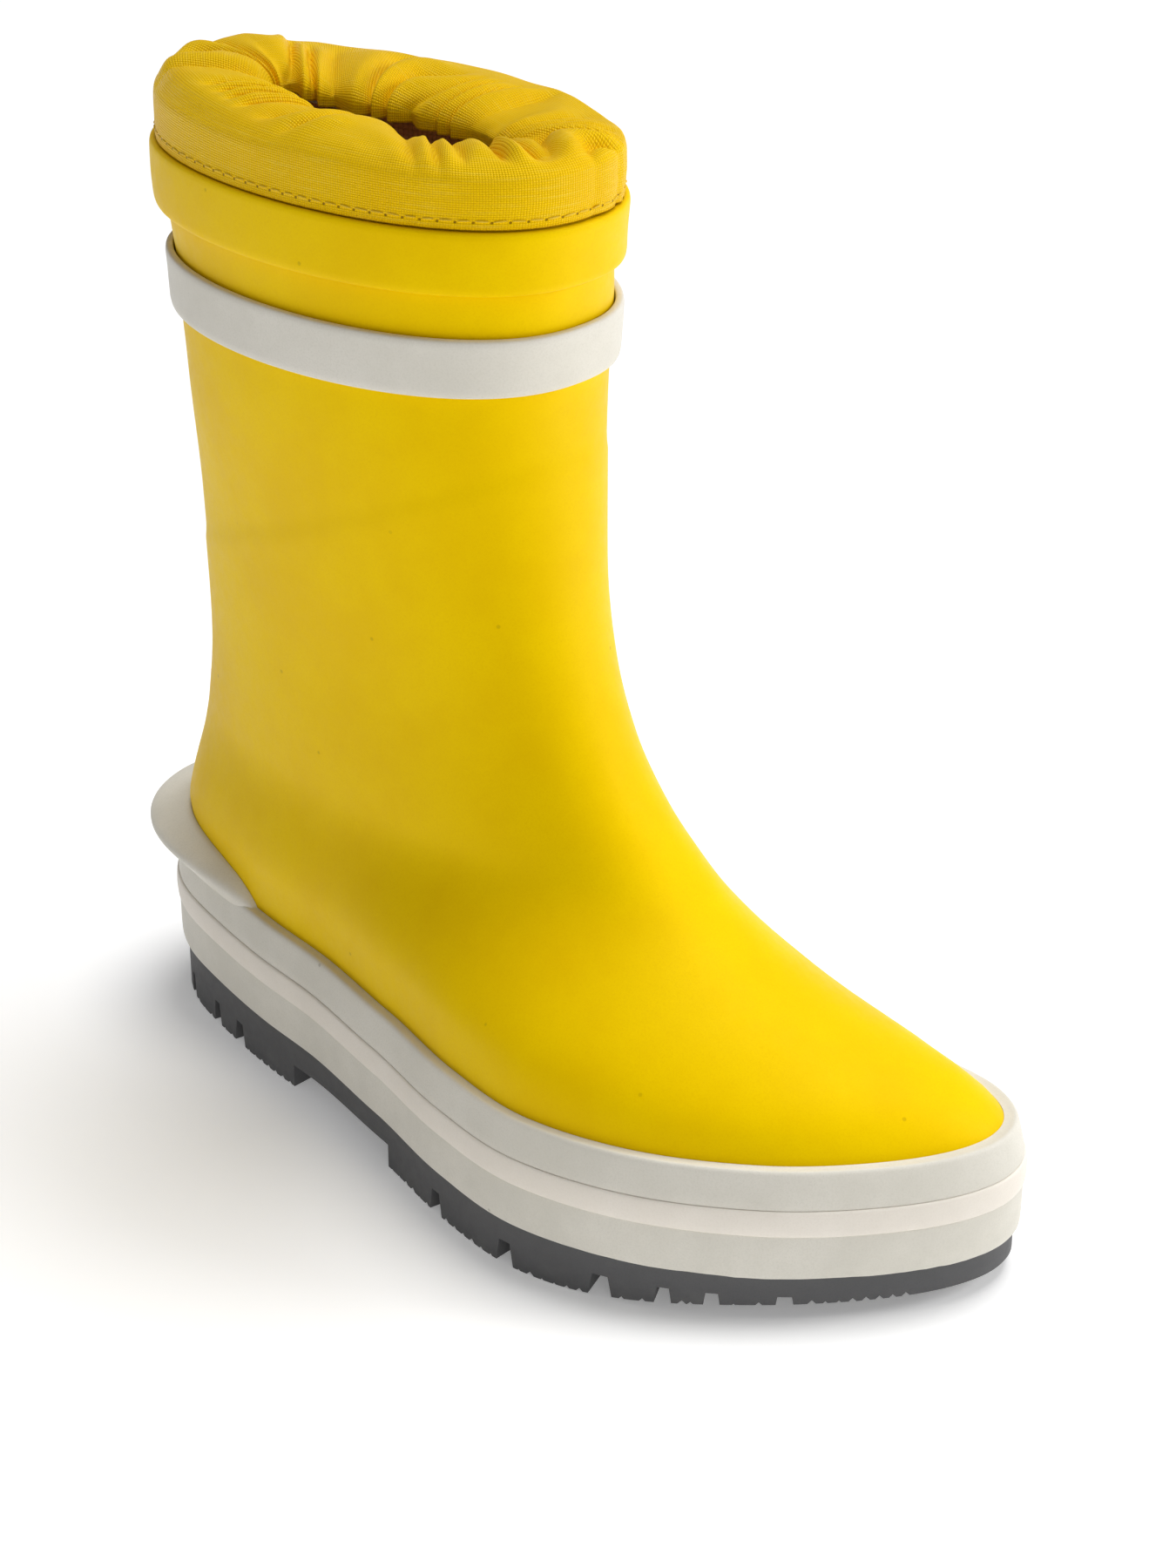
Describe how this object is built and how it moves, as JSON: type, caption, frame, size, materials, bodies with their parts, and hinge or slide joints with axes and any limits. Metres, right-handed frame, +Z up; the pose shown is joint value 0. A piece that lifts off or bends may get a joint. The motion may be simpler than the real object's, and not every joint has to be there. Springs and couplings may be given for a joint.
{
  "type": "rubber rain boot",
  "caption": "Child's ankle-high rubber rain boot for the right foot, with a foxing strip, cleated sole, heel kicker and gathered fabric collar.",
  "frame": {"origin": "on the ground, under the middle of the boot's box", "axes": "+Z up, toe towards -Y, outer side of the foot towards -X, so the boot is for a right foot"},
  "size_m": [0.0806, 0.2168, 0.2094],
  "materials": {
    "yellow_rubber": "matte",
    "beige_rubber": "matte",
    "white_rubber": "matte",
    "grey_rubber": "matte",
    "yellow_nylon": "satin",
    "yellow_thread": "satin",
    "white_elastic": "matte",
    "tan_knit": "matte",
    "grey_felt": "matte",
    "fibre_board": "matte",
    "cotton_duck": "matte",
    "sponge_rubber": "matte",
    "pale_foam": "matte"
  },
  "bodies": {
    "shell": {"outsole": "grey_rubber", "heel_wedge": "sponge_rubber", "forefoot_filler": "sponge_rubber", "foxing": "beige_rubber", "foxing_stripe": "white_rubber", "heel_kicker": "beige_rubber", "upper": "yellow_rubber", "back_strip": "yellow_rubber", "trim_band": "beige_rubber", "top_band": "yellow_rubber", "toe_puff": "fibre_board", "heel_counter": "fibre_board", "vamp_interlining": "cotton_duck", "foot_lining": "tan_knit", "leg_lining": "tan_knit", "insole_board": "fibre_board", "collar_fabric": "yellow_nylon", "collar_elastic": "white_elastic", "collar_thread": "yellow_thread"},
    "insole": {"insole_foam": "pale_foam", "insole_cover": "grey_felt"}
  },
  "joints": [
    {"name": "insole_heel_lift", "type": "hinge", "parent": "shell", "child": "insole", "pos_m": [0, -0.0975, 0.0114], "axis": [1, 0, 0], "range_deg": [0, 5]}
  ]
}
